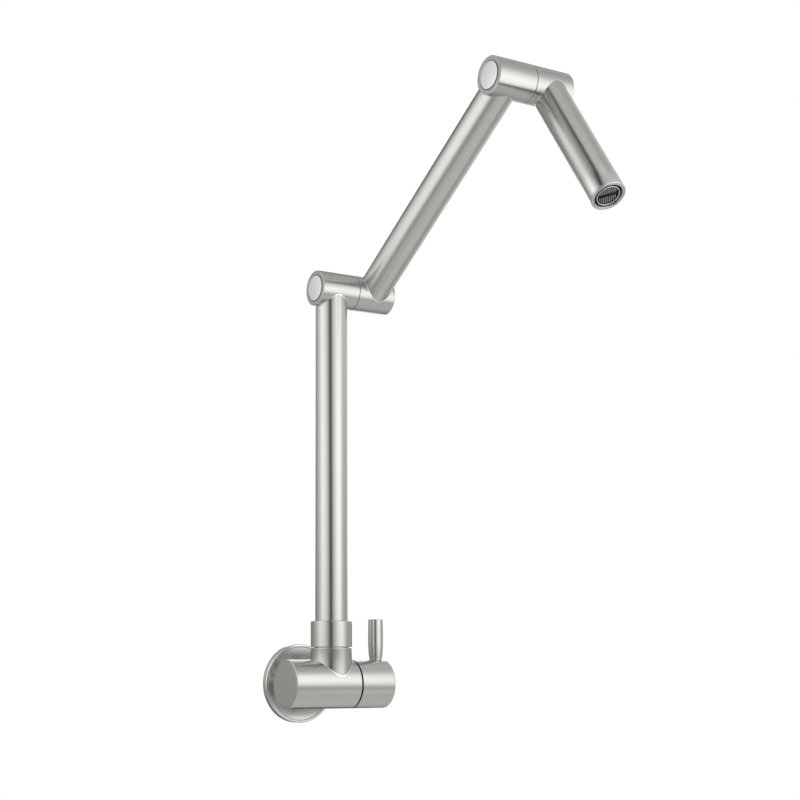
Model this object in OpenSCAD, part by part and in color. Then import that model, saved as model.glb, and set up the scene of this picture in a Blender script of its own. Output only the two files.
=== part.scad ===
// Wall-mounted folding kitchen faucet in brushed stainless steel.
// A valve body stands off the wall and carries a swivelling riser. An arm and a
// spout fold on two hollow barrel joints, so water runs through both pivots.
// Origin: centre of the wall face, on the inlet axis. +Y runs into the wall,
// +X along the valve body to its handle, +Z up. Lengths are in millimetres.

/* [Layout] */
// From the wall to the axis of the valve body
wall_gap = 45; // [42:1:70]
// From the underside of the valve body to the top of the lower joint
riser_height = 300; // [220:1:420]
// From the lower joint's axis to the upper joint's axis
arm_length = 190; // [140:1:260]
// From the top of the upper joint to the nozzle's rim, along the spout
spout_length = 115; // [80:1:180]
// Lean of the arm from upright at rest, towards the room, in degrees
arm_tilt = 56; // [0:1:120]
// Lean of the spout from upright at rest, towards the room, in degrees
spout_tilt = 146.5; // [120:0.5:175]

/* [Tubes and joints] */
// Outer diameter of the riser, arm and spout tubes
tube_d = 22; // [20:0.1:23]
// Wall of the tubes
tube_wall = 1.2; // [0.8:0.1:1.6]
// Diameter of the joint barrels
joint_d = 24.5; // [23.5:0.1:30]
// From one tube's axis to the next, along a joint's barrel
joint_offset = 32; // [30:0.5:44]
// From a tube's axis to the nearer end of the barrel
joint_end = 13.2; // [12.5:0.1:18]
// Diameter of the round cap in the end of a joint
joint_cap_d = 18; // [17.6:0.1:18.4]
// Visible seam between the two halves of a joint
joint_seam_w = 0.4; // [0.3:0.05:0.8]

/* [Valve body] */
// Diameter of the valve body and of the handle sleeve
body_d = 32.8; // [32.5:0.1:40]
// Valve body and handle sleeve together, end to end
body_length = 77; // [76:0.5:96]
// From the riser's axis to the closed end of the body
body_left = 34.7; // [33:0.1:44]
// From the riser's axis to the near end of the handle sleeve
sleeve_start = 16.2; // [15:0.1:18]
// Gap between the body and the handle sleeve, which holds the glide ring
groove_w = 0.8; // [0.5:0.05:1.2]
// Diameter of the upright branch, as wide as the union nut on it
branch_d = 28; // [27.5:0.1:32]
// How far the branch and the riser stand forward of the body's axis
branch_forward = 1.4; // [0:0.1:2]
// Top of the upright branch, above the body's axis
branch_top = 24.2; // [22:0.1:28]
// Top of the union nut, above the body's axis
nut_top = 42.3; // [41.5:0.1:52]
// Gap between the branch and the union nut
nut_gap = 0.7; // [0.4:0.05:1.2]
// Diameter of the plug that closes the body's left end
end_plug_d = 29.8; // [28:0.1:30.5]

/* [Wall fixing] */
// Diameter of the wall flange
flange_d = 54.5; // [46:0.5:70]
// How far the flange stands off the wall
flange_depth = 5; // [4:0.5:12]
// Sheet thickness of the flange
flange_wall = 1.4; // [1:0.1:2]
// Diameter of the inlet stub on the back of the valve body
stub_d = 25; // [24.5:0.1:28]
// Major diameter of the half-inch pipe thread
thread_d = 20.96; // [20:0.02:22]
// How far the threaded nipple stands out behind the wall face
thread_reach = 14; // [10:0.5:24]

/* [Handle] */
// From the riser's axis to the lever's axis
lever_x = 36.5; // [35:0.1:37]
// Height of the lever's flat top above the body's axis
lever_top = 44; // [36:0.5:80]
// Thickest diameter of the lever
lever_d = 10.3; // [9:0.1:12]
// Diameter of the lever where it meets the sleeve
lever_foot_d = 8.2; // [7:0.1:9]

/* [Nozzle] */
// Wall of the nozzle ring that holds the aerator
nozzle_wall = 0.9; // [0.7:0.05:1.2]
// Height of the nozzle ring's visible rim
nozzle_rim_h = 1.5; // [1:0.1:3]
// Slots in each half of the aerator grille
grille_slots = 7; // [4:1:8]

/* [Hidden] */
$fn = 96;

// Finishes
steel = [0.72, 0.71, 0.68];
brass = [0.78, 0.63, 0.33];
ceramic = [0.93, 0.92, 0.88];
rubber = [0.07, 0.07, 0.07];
acetal = [0.12, 0.12, 0.12];
black_plastic = [0.03, 0.03, 0.03];
grille_plastic = [0.14, 0.14, 0.14];

// Clearances: cuts run past a face by overrun, turning fits have run_clear
// all round, pieces screwed or pressed together have seat_clear, and faces
// that rub have face_gap between them.
overrun = 1;
run_clear = 0.05;
seat_clear = 0.02;
face_gap = 0.05;
edge = 0.5;
fine_edge = 0.2;

// Radii and places that follow from the driving sizes
tube_r = tube_d / 2;
tube_bore_r = tube_r - tube_wall;
nozzle_bore_r = tube_bore_r - nozzle_wall;
joint_r = joint_d / 2;
body_r = body_d / 2;
branch_r = branch_d / 2;
thread_r = thread_d / 2;
joint_z = riser_height - body_r - joint_r;
spout_reach = spout_length - joint_r;
seam_x = joint_offset / 2;
half_left_end = seam_x - joint_seam_w / 2;
half_right_start = seam_x + joint_seam_w / 2;
joint_right = joint_offset + joint_end;
body_right = sleeve_start - groove_w;
sleeve_end = body_length - body_left;

// Wall end: the stub passes through the flange and stops short of the wall
stub_short = 1;
flange_clear = 0.1;
nipple_chamfer = 1;
nipple_relief = 0.9;
nipple_bore_r = 5.6;
nipple_key_r = 7;
nipple_key_depth = 12;
nipple_inside = 24;
filter_t = 2;
stub_floor = -stub_short - nipple_inside - filter_t;
filter_hole_r = 0.6;
filter_rings = 3;

// Inside of the valve body: a chamber on the left, a seat wall, and the
// threaded bore of the ceramic headwork on the right
seat_x = -6.9;
seat_wall = 3.1;
seat_r = 4.6;
chamber_r = 12;
headwork_r = 10.3;
plug_t = 4;
feed_r = 3.5;
feed_x = -5;
feed_angle = 45;
feed_length = 15;
outlet_r = 5.5;
neck_top = 36;
neck_floor = 13.5;

// Ceramic headwork
seal_t = 2.85;
disc_t = 2.5;
disc_r = 8.7;
disc_hub_r = 2;
disc_port_r = 7;
port_sweep = 80;
port_steps = 12;
disc_room = 0.2;
window_room = 7;
window_w = 8;
window_edge = 0.4;
hex_across = 24;
hex_t = 4.8;
headwork_neck_r = 7;
headwork_neck = 7;
spindle_r = 4;
driver_r = 6.4;
driver_t = 2.4;
spindle_ring_x = 12;
spindle_ring_r = 0.62;
spindle_groove_r = 2.7;
clip_t = 0.8;
clip_r = 5.8;
clip_groove_r = 3.3;
clip_mouth = 3;

// Handle
glide_ring_t = 0.7;
glide_ring_sunk = 0.35;
glide_ring_r = body_r - glide_ring_sunk;
glide_ring_w = 2.2;
sleeve_wall = 2;
sleeve_hub = 11.6;
sleeve_hub_floor = 3.6;
spindle_end = sleeve_end - sleeve_hub_floor;
lever_stud_r = 2.5;
lever_stud = 4;
lever_taper = 0.15;
lever_edge = 0.35;
set_screw_r = 2;
set_screw_key_r = 1.15;
set_screw_sunk = 1.6;

// Swivel at the foot of the riser
nut_edge = 1;
nut_lip = 2.2;
nut_wall = 2.3;
nut_room = 0.05;
swivel_washer_t = 1;
bush_shoulder = 0.5;
bush_shoulder_r = tube_r + bush_shoulder;
bush_wall = 1.4;
bush_foot = 17;
bush_spigot = 9;
neck_shoulder = 0.2;
neck_wall = 2.2;
neck_r = bush_shoulder_r + neck_shoulder;
nut_r = neck_r + nut_wall;
neck_bore_r = neck_r - neck_wall;
ring_wire_r = 0.75;
ring_depth = 1.6;
ring_groove_r = neck_bore_r - ring_depth;
ring_room = 0.35;
bush_bore_r = ring_groove_r - bush_wall;
riser_ring_at = [23, 30];

// Inside of a joint, along its barrel from the lower tube's axis
pin_bore_r = 7.5;
shoulder_x = -7.2;
retainer_bore_r = 8.6;
cap_t = 1.6;
cap_gap = 0.35;
cap_sunk = 0.15;
cap_skirt_wall = 0.7;
cap_skirt = 1.6;
joint_port_r = 4;
waist_r = 5.2;
waist_half = 4;
water_r = 3.4;
water_start = -2.6;
cross_port_r = 2.1;
joint_groove_r = 5.85;
joint_wire_r = 0.8;
joint_ring_at = [-5.7, 6.9, 11.5];
socket_thread_r = 8;
socket_thread = 10;
socket_chamber_r = 5;
socket_chamber_end = 6;
retainer_t = 1;
retainer_r = 8.2;
joint_screw_r = 3;
joint_screw_head_r = 5;
joint_screw_head = 2.4;
joint_screw_key_r = 2.3;
joint_screw_key = 1.6;
joint_screw_tip = 3.6;
washer_land = 0.35;

// Nozzle and aerator, measured back from the rim
nozzle_spigot = 9.2;
nozzle_edge = 0.5;
nozzle_ledge = 2.3;
nozzle_ledge_r = nozzle_bore_r - nozzle_ledge;
nozzle_floor = 9.6;
gasket_t = 1.4;
aerator_wall = 0.9;
aerator_sunk = 0.6;
aerator_floor_w = 1.8;
aerator_floor_r = nozzle_bore_r - aerator_wall - aerator_floor_w;
aerator_rim_wall = 0.9;
aerator_rim_h = 3.2;
aerator_rim_sunk = 0.4;
grille_sunk = 0.9;
grille_t = 1.4;
grille_bar_w = 1.1;
grille_field_share = 0.84;
grille_slot_share = 0.5;
screen_t = 0.8;
screen_hole_r = 0.5;
screen_rings = 4;

// Places on the valve body's frame
module at_body() translate([0, -wall_gap, 0]) children();
module at_riser() translate([0, -wall_gap - branch_forward, 0]) children();
module at_riser_top() at_riser() translate([0, 0, joint_z]) children();
module at_arm() at_riser_top() rotate([arm_tilt, 0, 0]) children();
module at_arm_end() at_arm() translate([joint_offset, 0, arm_length]) children();
module at_spout() at_arm_end() rotate([spout_tilt - arm_tilt, 0, 0]) children();
module on_spout_axis() at_spout() translate([joint_offset, 0, 0]) children();
module at_nozzle() on_spout_axis() translate([0, 0, spout_reach]) children();

// Round bars along each axis, from one place to another
module bar_z(r, from, to) translate([0, 0, from]) cylinder(r = r, h = to - from);
module bar_x(r, from, to) rotate([0, 90, 0]) bar_z(r, from, to);
module bar_y(r, from, to) rotate([-90, 0, 0]) bar_z(r, from, to);

// Turned bars with a bevel at each end
module bevelled_z(r, from, to, low, high)
    rotate_extrude()
        polygon([
            [0, from], [r - low, from], [r, from + low],
            [r, to - high], [r - high, to], [0, to]
        ]);
module bevelled_x(r, from, to, low, high) rotate([0, 90, 0]) bevelled_z(r, from, to, low, high);

// Flat rings and round-wire rings
module ring_x(outer, inner, from, to)
    difference() {
        bar_x(outer, from, to);
        bar_x(inner, from - overrun, to + overrun);
    }
module ring_z(outer, inner, from, to)
    difference() {
        bar_z(outer, from, to);
        bar_z(inner, from - overrun, to + overrun);
    }
module wire_ring_z(middle_r, wire_r) rotate_extrude() translate([middle_r, 0]) circle(r = wire_r);
module wire_ring_x(middle_r, wire_r, x)
    translate([x, 0, 0])
        rotate([0, 90, 0])
            wire_ring_z(middle_r, wire_r);

// Holes in rings round the middle, six more in each ring
module hole_rings(rings, pitch, hole_r, from, to)
    for (ring = [1 : rings], step = [0 : ring * 6 - 1])
        rotate([0, 0, step * 360 / (ring * 6)])
            translate([ring * pitch, 0, 0])
                bar_z(hole_r, from, to);

// Pressed flange that covers the hole in the wall
module wall_flange() {
    color(steel)
        difference() {
            rotate([90, 0, 0]) bevelled_z(flange_d / 2, 0, flange_depth, 0, edge + fine_edge);
            bar_y(flange_d / 2 - flange_wall, -flange_depth + flange_wall, overrun);
            bar_y(stub_d / 2 + flange_clear, -flange_depth - overrun, overrun);
        }
}

// Threaded nipple between the valve body and the pipe in the wall
module wall_nipple() {
    inner_end = -stub_short - nipple_inside;
    color(brass)
        difference() {
            union() {
                rotate([-90, 0, 0]) bevelled_z(thread_r, 0, thread_reach, 0, nipple_chamfer);
                bar_y(thread_r - nipple_relief, -stub_short - overrun, overrun);
                bar_y(thread_r - seat_clear, inner_end, -stub_short);
            }
            bar_y(nipple_bore_r, inner_end - overrun, thread_reach + overrun);
            translate([0, thread_reach - nipple_key_depth, 0])
                rotate([-90, 0, 0])
                    cylinder(r = nipple_key_r, h = nipple_key_depth + overrun, $fn = 6);
        }
}

// Washer with a strainer, clamped under the nipple
module inlet_filter() {
    top = stub_floor + filter_t;
    color(rubber)
        rotate([-90, 0, 0])
            difference() {
                bar_z(thread_r - flange_clear, stub_floor, top);
                bar_z(filter_hole_r, stub_floor - overrun, top + overrun);
                hole_rings(filter_rings, (nipple_bore_r - filter_hole_r) / filter_rings,
                    filter_hole_r, stub_floor - overrun, top + overrun);
            }
}

// Slanted hole from the inlet stub to the chamber behind the seat
module feed_hole() {
    translate([feed_x, stub_floor, 0])
        rotate([0, 0, 180 + feed_angle])
            bar_x(feed_r, -overrun, feed_length);
}

// Inlet stub, brazed to the back of the body: takes the nipple and the strainer
module inlet_stub() {
    color(steel)
        difference() {
            bar_y(stub_d / 2, -wall_gap, -stub_short);
            bar_y(thread_r, stub_floor, overrun);
            at_body() bar_x(body_r, -stub_d, stub_d);
            at_riser() bar_z(branch_r, 0, branch_top);
            feed_hole();
        }
}

// Machined barrel: closed end, chamber, seat and headwork bore
module valve_body() {
    color(steel)
        difference() {
            at_body() bevelled_x(body_r, -body_left, body_right, edge, fine_edge);
            at_body() bar_x(end_plug_d / 2 + flange_clear, -body_left - overrun, -body_left + plug_t);
            at_body() bar_x(chamber_r, -body_left, seat_x - seat_wall);
            at_body() bar_x(seat_r, seat_x - seat_wall - overrun, seat_x + overrun);
            at_body() bar_x(headwork_r, seat_x, body_right + overrun);
            at_riser() bar_z(outlet_r, 0, neck_floor + overrun);
            at_riser() bar_z(neck_bore_r, neck_floor, neck_top);
            feed_hole();
        }
}

// Upright branch, brazed on the body: a threaded neck with a smooth bore
module riser_branch() {
    color(steel)
        difference() {
            at_riser()
                union() {
                    bevelled_z(branch_r, 0, branch_top, 0, fine_edge);
                    bar_z(neck_r, 0, neck_top);
                }
            at_riser() bar_z(neck_bore_r, 0, neck_top + overrun);
            at_body() bar_x(body_r, -branch_d, branch_d);
        }
}

// Plug pressed into the closed end of the body
module body_end_plug() {
    color(steel)
        at_body() bevelled_x(end_plug_d / 2, -body_left, -body_left + plug_t, fine_edge, 0);
}

// Headwork: brass shell with the ceramic discs, screwed into the body
module cartridge_housing() {
    low = seat_x + seal_t / 4;
    shell_bore = disc_r + disc_room;
    room_end = seat_x + seal_t + 2 * disc_t + face_gap + window_room;
    top = body_right + hex_t + headwork_neck;
    color(brass)
        at_body()
            difference() {
                union() {
                    bar_x(headwork_r - seat_clear, low, body_right);
                    translate([body_right, 0, 0])
                        rotate([0, 90, 0])
                            cylinder(d = hex_across / cos(30), h = hex_t, $fn = 6);
                    bar_x(headwork_neck_r, body_right, top);
                }
                bar_x(shell_bore, low - overrun, room_end);
                bar_x(spindle_r + run_clear, room_end - overrun, top + overrun);
                translate([room_end - window_room + window_edge, -window_w / 2, -headwork_r - overrun])
                    cube([window_room - 2 * window_edge, window_w, 2 * (headwork_r + overrun)]);
            }
}

// Rubber seal between the seat and the fixed disc
module cartridge_seal() {
    color(rubber)
        at_body() ring_x(disc_r - disc_room, seat_r, seat_x, seat_x + seal_t);
}

// Quarter-circle openings of a ceramic disc
module disc_ports() {
    for (side = [0, 180])
        rotate([0, 0, side])
            linear_extrude(disc_t + 2 * overrun)
                polygon(concat(
                    [for (i = [0 : port_steps]) disc_hub_r * turn(i)],
                    [for (i = [port_steps : -1 : 0]) disc_port_r * turn(i)]
                ));
}
function turn(i) = [
    cos(port_sweep * (i / port_steps - 1 / 2)),
    sin(port_sweep * (i / port_steps - 1 / 2))
];

module ceramic_disc(from, angle) {
    color(ceramic)
        at_body()
            translate([from, 0, 0])
                rotate([angle, 0, 0])
                    rotate([0, 90, 0])
                        difference() {
                            bar_z(disc_r, 0, disc_t);
                            translate([0, 0, -overrun]) disc_ports();
                        }
}
module ceramic_disc_fixed() ceramic_disc(seat_x + seal_t, 0);
module ceramic_disc_moving() ceramic_disc(seat_x + seal_t + disc_t + face_gap, 90);

// Spindle from the moving disc to the handle
module cartridge_spindle() {
    start = seat_x + seal_t + 2 * disc_t + face_gap;
    neck_end = body_right + hex_t + headwork_neck;
    color(brass)
        at_body()
            difference() {
                union() {
                    bar_x(driver_r, start, start + driver_t);
                    bar_x(spindle_r, start, spindle_end);
                }
                ring_x(spindle_r + overrun, spindle_groove_r,
                    spindle_ring_x - spindle_ring_r - fine_edge,
                    spindle_ring_x + spindle_ring_r + fine_edge);
                ring_x(spindle_r + overrun, clip_groove_r,
                    neck_end + face_gap, neck_end + 2 * face_gap + clip_t);
            }
}

// Ring that seals the spindle
module cartridge_o_ring() {
    color(rubber)
        at_body() wire_ring_x(spindle_groove_r + spindle_ring_r, spindle_ring_r, spindle_ring_x);
}

// Spring clip that keeps the spindle in the headwork
module cartridge_clip() {
    low = body_right + hex_t + headwork_neck + 1.5 * face_gap;
    color(steel)
        at_body()
            difference() {
                ring_x(clip_r, clip_groove_r, low, low + clip_t);
                translate([low - overrun, -clip_mouth / 2, 0])
                    cube([clip_t + 2 * overrun, clip_mouth, clip_r + overrun]);
            }
}

// Black ring in the gap between the body and the handle sleeve
module handle_glide_ring() {
    color(rubber)
        at_body() ring_x(glide_ring_r, glide_ring_r - glide_ring_w, body_right, body_right + glide_ring_t);
}

// Round sleeve that turns with the spindle
module handle_sleeve() {
    hub_start = sleeve_end - sleeve_hub;
    color(steel)
        at_body()
            difference() {
                bevelled_x(body_r, sleeve_start, sleeve_end, fine_edge, edge + edge);
                bar_x(body_r - sleeve_wall, sleeve_start - overrun, hub_start);
                bar_x(spindle_r + seat_clear, hub_start - overrun, spindle_end + face_gap);
                translate([lever_x, 0, 0])
                    bar_z(lever_stud_r + seat_clear, body_r - lever_stud, body_r + overrun);
                translate([lever_x, 0, 0])
                    bar_z(set_screw_r + seat_clear, -body_r - overrun, -spindle_r);
            }
}

// Tapered lever with a flat top, screwed into the sleeve by its stud
module handle_lever() {
    foot = sqrt(body_r * body_r - lever_foot_d * lever_foot_d / 4) - fine_edge;
    rise = lever_top - foot;
    crown_r = lever_d / 2 - lever_taper;
    lever_heights_share = [0.06, 0.16, 0.3, 0.48, 0.72];
    lever_swell_share = [0.3, 0.62, 0.88, 1, 0.98];
    color(steel)
        at_body()
            translate([lever_x, 0, 0])
                union() {
                    bar_z(lever_stud_r, body_r - lever_stud, body_r + overrun);
                    difference() {
                        rotate_extrude()
                            polygon(concat(
                                [[0, foot], [lever_foot_d / 2, foot]],
                                [for (i = [0 : len(lever_heights_share) - 1]) [
                                    lever_foot_d / 2 + (lever_d - lever_foot_d) / 2 * lever_swell_share[i],
                                    foot + rise * lever_heights_share[i]
                                ]],
                                [[crown_r, lever_top - lever_edge],
                                    [crown_r - lever_edge, lever_top], [0, lever_top]]
                            ));
                        bar_x(body_r, -lever_d, lever_d);
                    }
                }
}

// Grub screw that locks the sleeve to the spindle, from below
module handle_set_screw() {
    color(steel)
        at_body()
            translate([lever_x, 0, 0])
                difference() {
                    bar_z(set_screw_r, -body_r + set_screw_sunk, -spindle_r);
                    translate([0, 0, -body_r + set_screw_sunk - overrun])
                        cylinder(r = set_screw_key_r, h = set_screw_sunk + overrun, $fn = 6);
                }
}

// Union nut that holds the riser down on the branch
module union_nut() {
    color(steel)
        at_riser()
            difference() {
                bevelled_z(nut_r, branch_top + nut_gap, nut_top, fine_edge, nut_edge);
                bar_z(neck_r + run_clear, branch_top, nut_top - nut_lip);
                bar_z(tube_r + run_clear, branch_top, nut_top + overrun);
            }
}

// Glide washer under the riser's shoulder
module swivel_washer() {
    color(acetal)
        at_riser() ring_z(bush_shoulder_r, neck_bore_r + flange_clear, neck_top, neck_top + swivel_washer_t);
}

// Brass bush that turns in the branch and carries the riser tube
module riser_bush() {
    shoulder_low = neck_top + swivel_washer_t + face_gap;
    shoulder_top = nut_top - nut_lip - nut_room;
    color(brass)
        at_riser()
            difference() {
                union() {
                    bevelled_z(neck_bore_r - run_clear, bush_foot, shoulder_low, edge, 0);
                    bar_z(bush_shoulder_r, shoulder_low, shoulder_top);
                    bevelled_z(tube_bore_r - seat_clear, shoulder_low, shoulder_top + bush_spigot, 0, edge);
                }
                bar_z(bush_bore_r, bush_foot - overrun, shoulder_top + bush_spigot + overrun);
                for (z = riser_ring_at)
                    ring_z(neck_bore_r + overrun, ring_groove_r,
                        z - ring_wire_r - ring_room, z + ring_wire_r + ring_room);
            }
}

// Two rings that seal the riser in the branch
module riser_o_rings() {
    color(rubber)
        at_riser()
            for (z = riser_ring_at)
                translate([0, 0, z]) wire_ring_z(ring_groove_r + ring_wire_r, ring_wire_r);
}

// Upright tube, cut to a saddle where it meets the lower joint
module riser_tube() {
    low = nut_top - nut_lip - nut_room;
    color(steel)
        at_riser()
            difference() {
                bar_z(tube_r, low, joint_z);
                bar_z(tube_bore_r, low - overrun, joint_z + overrun);
                translate([0, 0, joint_z]) bar_x(joint_r, -joint_end - tube_d, joint_end + tube_d);
            }
}

// Fixed half of a joint, on the end of the tube below it
module joint_housing() {
    recess_r = joint_cap_d / 2 + cap_gap;
    color(steel)
        difference() {
            bevelled_x(joint_r, -joint_end, half_left_end, edge, fine_edge);
            bar_x(recess_r, -joint_end - overrun, -joint_end + cap_t + cap_sunk);
            bar_x(retainer_bore_r, -joint_end, shoulder_x);
            bar_x(pin_bore_r, shoulder_x - overrun, half_left_end + overrun);
            bar_z(joint_port_r, -joint_r - overrun, 0);
        }
}

// Round cap pressed into the end of a joint
module joint_cap() {
    face = -joint_end + cap_sunk;
    color(steel)
        union() {
            bevelled_x(joint_cap_d / 2, face, face + cap_t, fine_edge, 0);
            ring_x(retainer_bore_r, retainer_bore_r - cap_skirt_wall,
                face + cap_t, face + cap_t + cap_skirt);
        }
}

// Thin glide washer in the seam
module joint_washer() {
    color(acetal)
        ring_x(joint_r - washer_land, socket_thread_r + edge, half_left_end, half_right_start - face_gap);
}

// Hollow pivot pin: water enters its waist and leaves at its open end
module joint_spindle() {
    left = shoulder_x - face_gap;
    land_r = pin_bore_r - run_clear;
    thread_end = half_right_start + socket_thread;
    color(brass)
        difference() {
            union() {
                bevelled_x(land_r, left, half_right_start, fine_edge, 0);
                bevelled_x(socket_thread_r - seat_clear, half_right_start, thread_end, 0, edge);
            }
            ring_x(land_r + overrun, waist_r, -waist_half, waist_half);
            for (x = joint_ring_at)
                ring_x(land_r + overrun, joint_groove_r,
                    x - joint_wire_r - fine_edge, x + joint_wire_r + fine_edge);
            bar_x(water_r, water_start, thread_end + overrun);
            bar_x(joint_screw_r, left - overrun, -joint_screw_tip);
            bar_y(cross_port_r, -waist_r - overrun, waist_r + overrun);
            bar_z(cross_port_r, -waist_r - overrun, waist_r + overrun);
        }
}

// Rings that seal the pivot pin on both sides of its waist
module joint_o_rings() {
    color(rubber)
        for (x = joint_ring_at)
            wire_ring_x(joint_groove_r + joint_wire_r, joint_wire_r, x);
}

// Washer that keeps the pin from sliding out
module joint_retainer() {
    low = shoulder_x - face_gap - retainer_t;
    color(steel)
        ring_x(retainer_r, joint_screw_r + flange_clear, low, low + retainer_t);
}

// Screw that holds the washer on the pin
module joint_screw() {
    seat = shoulder_x - face_gap - retainer_t;
    color(steel)
        difference() {
            union() {
                bevelled_x(joint_screw_head_r, seat - joint_screw_head, seat, fine_edge, 0);
                bar_x(joint_screw_r - seat_clear, seat, -joint_screw_tip - fine_edge);
            }
            translate([seat - joint_screw_head - overrun, 0, 0])
                rotate([0, 90, 0])
                    cylinder(r = joint_screw_key_r, h = joint_screw_key + overrun, $fn = 6);
        }
}

// Moving half of a joint, screwed on the pin, with a port for the next tube
module joint_socket() {
    thread_end = half_right_start + socket_thread;
    color(steel)
        difference() {
            bevelled_x(joint_r, half_right_start, joint_right, fine_edge, edge);
            bar_x(socket_thread_r, half_right_start - overrun, thread_end);
            bar_x(socket_chamber_r, thread_end - overrun, joint_offset + socket_chamber_end);
            translate([joint_offset, 0, 0]) bar_z(joint_port_r, 0, joint_r + overrun);
        }
}

// The lower joint, between riser and arm
module lower_joint_housing() at_riser_top() joint_housing();
module lower_joint_cap() at_riser_top() joint_cap();
module lower_joint_washer() at_riser_top() joint_washer();
module lower_joint_spindle() at_arm() joint_spindle();
module lower_joint_o_rings() at_arm() joint_o_rings();
module lower_joint_retainer() at_arm() joint_retainer();
module lower_joint_screw() at_arm() joint_screw();
module arm_socket() at_arm() joint_socket();

// Arm tube, cut to a saddle at both joints
module arm_tube() {
    color(steel)
        at_arm()
            translate([joint_offset, 0, 0])
                difference() {
                    bar_z(tube_r, 0, arm_length);
                    bar_z(tube_bore_r, -overrun, arm_length + overrun);
                    bar_x(joint_r, -tube_d, tube_d);
                    translate([0, 0, arm_length]) bar_x(joint_r, -tube_d, tube_d);
                }
}

// The upper joint, between arm and spout
module upper_joint_housing() at_arm_end() joint_housing();
module upper_joint_cap() at_arm_end() joint_cap();
module upper_joint_washer() at_arm_end() joint_washer();
module upper_joint_spindle() at_spout() joint_spindle();
module upper_joint_o_rings() at_spout() joint_o_rings();
module upper_joint_retainer() at_spout() joint_retainer();
module upper_joint_screw() at_spout() joint_screw();
module spout_socket() at_spout() joint_socket();

// Spout tube, cut to a saddle at the joint
module spout_tube() {
    color(steel)
        on_spout_axis()
            difference() {
                bar_z(tube_r, 0, spout_reach - nozzle_rim_h);
                bar_z(tube_bore_r, -overrun, spout_reach);
                bar_x(joint_r, -tube_d, tube_d);
            }
}

// Ring pressed into the end of the spout, with a ledge for the aerator
module nozzle_ring() {
    color(steel)
        at_nozzle()
            difference() {
                union() {
                    bevelled_z(tube_r, -nozzle_rim_h, 0, 0, nozzle_edge);
                    bar_z(tube_bore_r - seat_clear, -nozzle_rim_h - nozzle_spigot, -nozzle_edge);
                }
                bar_z(nozzle_bore_r, -nozzle_floor, overrun);
                bar_z(nozzle_ledge_r, -nozzle_rim_h - nozzle_spigot - overrun, overrun);
            }
}

// Flat gasket on the ledge
module aerator_gasket() {
    color(rubber)
        at_nozzle()
            ring_z(nozzle_bore_r - flange_clear, nozzle_ledge_r, -nozzle_floor, -nozzle_floor + gasket_t);
}

// Black plastic cup of the aerator, screwed into the nozzle ring
module aerator_body() {
    outer = nozzle_bore_r - seat_clear;
    low = -nozzle_floor + gasket_t;
    color(black_plastic)
        at_nozzle()
            difference() {
                bevelled_z(outer, low, -aerator_sunk, 0, fine_edge);
                bar_z(outer - aerator_wall, low + screen_t, overrun);
                bar_z(aerator_floor_r, low - overrun, overrun);
            }
}

// Metal ring that frames the grille
module aerator_rim() {
    outer = nozzle_bore_r - seat_clear - aerator_wall;
    color(steel)
        at_nozzle()
            difference() {
                bevelled_z(outer, -aerator_rim_h - aerator_rim_sunk, -aerator_rim_sunk, 0, fine_edge);
                bar_z(outer - aerator_rim_wall, -aerator_rim_h - aerator_rim_sunk - overrun, overrun);
            }
}

// Grille with a bar across its middle and parallel slots in each half
module aerator_grille() {
    outer = nozzle_bore_r - seat_clear - aerator_wall - aerator_rim_wall;
    field = outer * grille_field_share;
    pitch = 2 * field / (grille_slots + 1);
    slot_w = pitch * grille_slot_share;
    color(grille_plastic)
        at_nozzle()
            difference() {
                bar_z(outer, -grille_sunk - grille_t, -grille_sunk);
                for (i = [0 : grille_slots - 1]) {
                    x = pitch * (i - (grille_slots - 1) / 2);
                    reach = sqrt(field * field - x * x);
                    for (side = [0, 1])
                        mirror([0, side, 0])
                            translate([x - slot_w / 2, grille_bar_w / 2, -grille_sunk - grille_t - overrun])
                                cube([slot_w, reach - grille_bar_w / 2, grille_t + 2 * overrun]);
                }
            }
}

// Perforated screen inside the aerator
module aerator_screen() {
    outer = nozzle_bore_r - seat_clear - aerator_wall;
    low = -nozzle_floor + gasket_t + screen_t;
    color(steel)
        at_nozzle()
            difference() {
                bar_z(outer, low, low + screen_t);
                hole_rings(screen_rings, (aerator_floor_r - screen_hole_r) / screen_rings,
                    screen_hole_r, low - overrun, low + screen_t + overrun);
            }
}

wall_flange();
wall_nipple();
inlet_filter();
inlet_stub();
valve_body();
riser_branch();
body_end_plug();
cartridge_housing();
cartridge_seal();
ceramic_disc_fixed();
ceramic_disc_moving();
cartridge_spindle();
cartridge_o_ring();
cartridge_clip();
handle_glide_ring();
handle_sleeve();
handle_lever();
handle_set_screw();
union_nut();
swivel_washer();
riser_bush();
riser_o_rings();
riser_tube();
lower_joint_housing();
lower_joint_cap();
lower_joint_washer();
lower_joint_spindle();
lower_joint_o_rings();
lower_joint_retainer();
lower_joint_screw();
arm_socket();
arm_tube();
upper_joint_housing();
upper_joint_cap();
upper_joint_washer();
upper_joint_spindle();
upper_joint_o_rings();
upper_joint_retainer();
upper_joint_screw();
spout_socket();
spout_tube();
nozzle_ring();
aerator_gasket();
aerator_body();
aerator_rim();
aerator_grille();
aerator_screen();
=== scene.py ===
from math import cos, pi, radians, sin, sqrt, tan

import bpy
from mathutils import Matrix, Vector


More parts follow.
